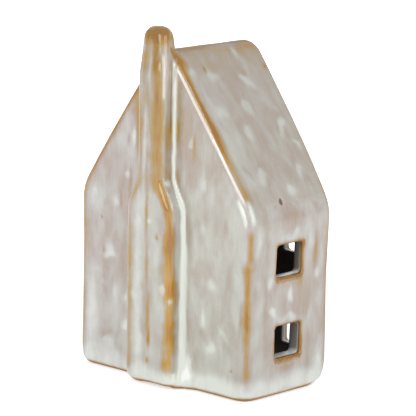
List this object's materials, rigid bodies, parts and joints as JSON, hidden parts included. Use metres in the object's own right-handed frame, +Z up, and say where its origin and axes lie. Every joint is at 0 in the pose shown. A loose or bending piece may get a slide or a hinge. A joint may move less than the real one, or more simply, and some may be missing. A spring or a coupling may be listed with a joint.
{
  "type": "tealight house",
  "caption": "Hollow glazed stoneware house with cut windows and an outside chimney, standing over a tealight that lights it from within.",
  "frame": {"origin": "middle of the footprint, chimney included, at table level", "axes": "+Z up, -Y out of the closed gable that carries the chimney, +X to the right when facing that gable"},
  "size_m": [0.1052, 0.0642, 0.1614],
  "materials": {
    "glaze": "gloss",
    "cup": "satin",
    "wax": "satin",
    "tin": "satin",
    "cotton": "matte"
  },
  "bodies": {
    "tealight": {"tealight_cup": "cup", "tealight_wax": "wax", "wick_sustainer": "tin", "wick": "cotton"},
    "house": {"house_shell": "glaze"}
  },
  "joints": [
    {"name": "house_lift", "type": "slide", "parent": "tealight", "child": "house", "axis": [0, 0, 1], "range_m": [0, 0.12]}
  ]
}
